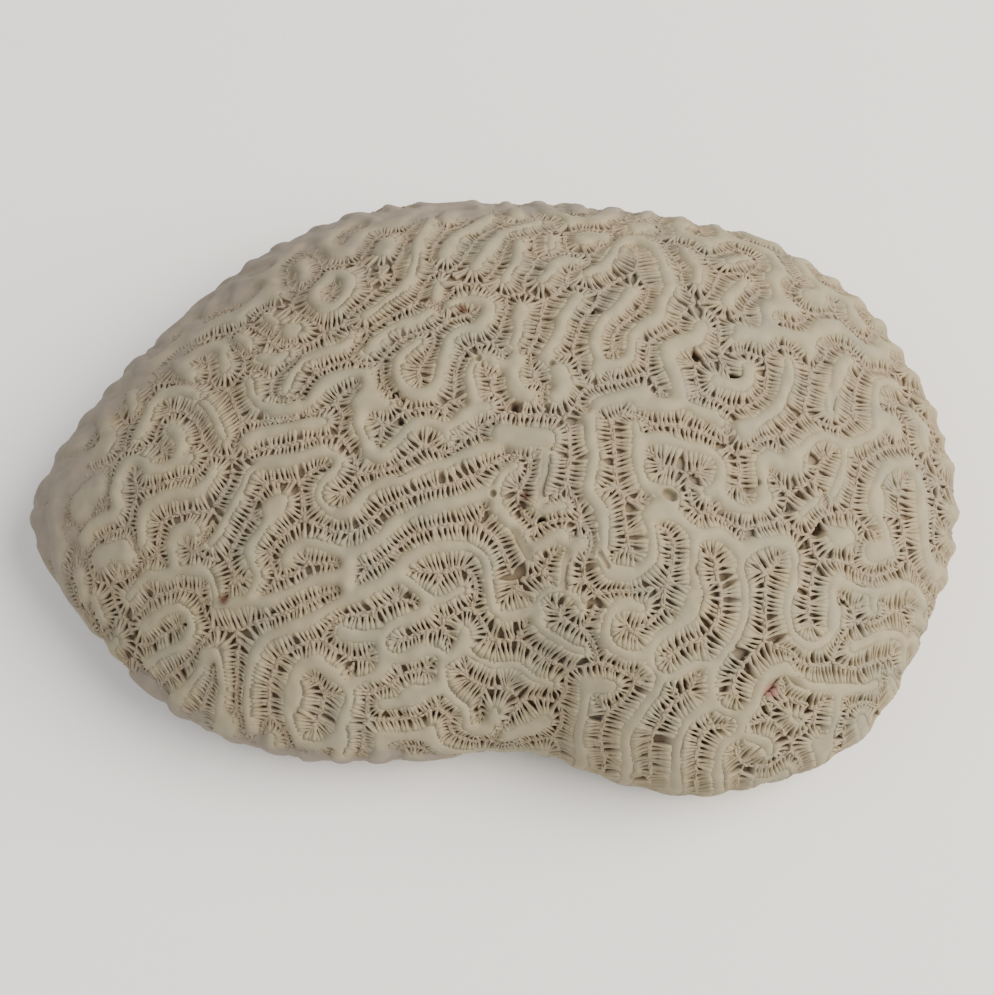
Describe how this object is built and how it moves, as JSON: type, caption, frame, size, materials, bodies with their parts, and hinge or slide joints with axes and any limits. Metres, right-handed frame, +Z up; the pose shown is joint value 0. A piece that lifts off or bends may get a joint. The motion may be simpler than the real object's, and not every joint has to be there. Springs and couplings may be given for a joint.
{
  "type": "brain coral",
  "caption": "Low domed skeleton of a brain coral, its top and sides covered in meandering ridges and comb-filled valleys, cut off flat below to lie on a shelf.",
  "frame": {"origin": "middle of the bounding box's underside, on the flat cut the coral rests on", "axes": "+Z up out of the flat cut through the top of the dome, +X along the longest side towards the blunt, broad end, +Y away from the notched front"},
  "size_m": [0.141, 0.0972, 0.0379],
  "materials": {
    "aragonite": "matt, dry porous aragonite"
  },
  "bodies": {
    "root": {"coral_skeleton": "aragonite"}
  },
  "joints": []
}
